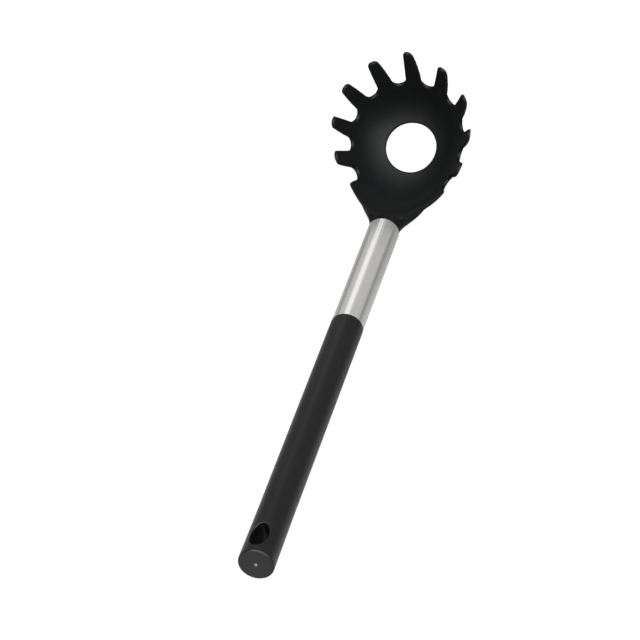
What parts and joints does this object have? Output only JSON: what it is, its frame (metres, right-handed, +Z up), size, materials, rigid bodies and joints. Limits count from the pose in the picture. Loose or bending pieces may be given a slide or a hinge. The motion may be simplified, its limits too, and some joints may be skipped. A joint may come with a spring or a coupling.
{
  "type": "pasta server",
  "caption": "Pasta server with a toothed black nylon bowl and a large portion hole, on a steel sleeve and a round matte black grip with a hanging hole.",
  "frame": {"origin": "centre of the bottom of the bounding box, under the bowl's lowest point", "axes": "+X along the handle towards the bowl, +Z up on the bowl's open side"},
  "size_m": [0.3356, 0.0724, 0.0764],
  "materials": {
    "black_nylon": "satin moulded nylon",
    "brushed_steel": "fine brushed",
    "rod_steel": "plain drawn",
    "core_plastic": "moulded",
    "grip_skin": "soft matte"
  },
  "bodies": {
    "root": {"head": "black_nylon", "sleeve": "brushed_steel", "core_rod": "rod_steel", "grip_core": "core_plastic", "grip_shell": "grip_skin"}
  },
  "joints": []
}
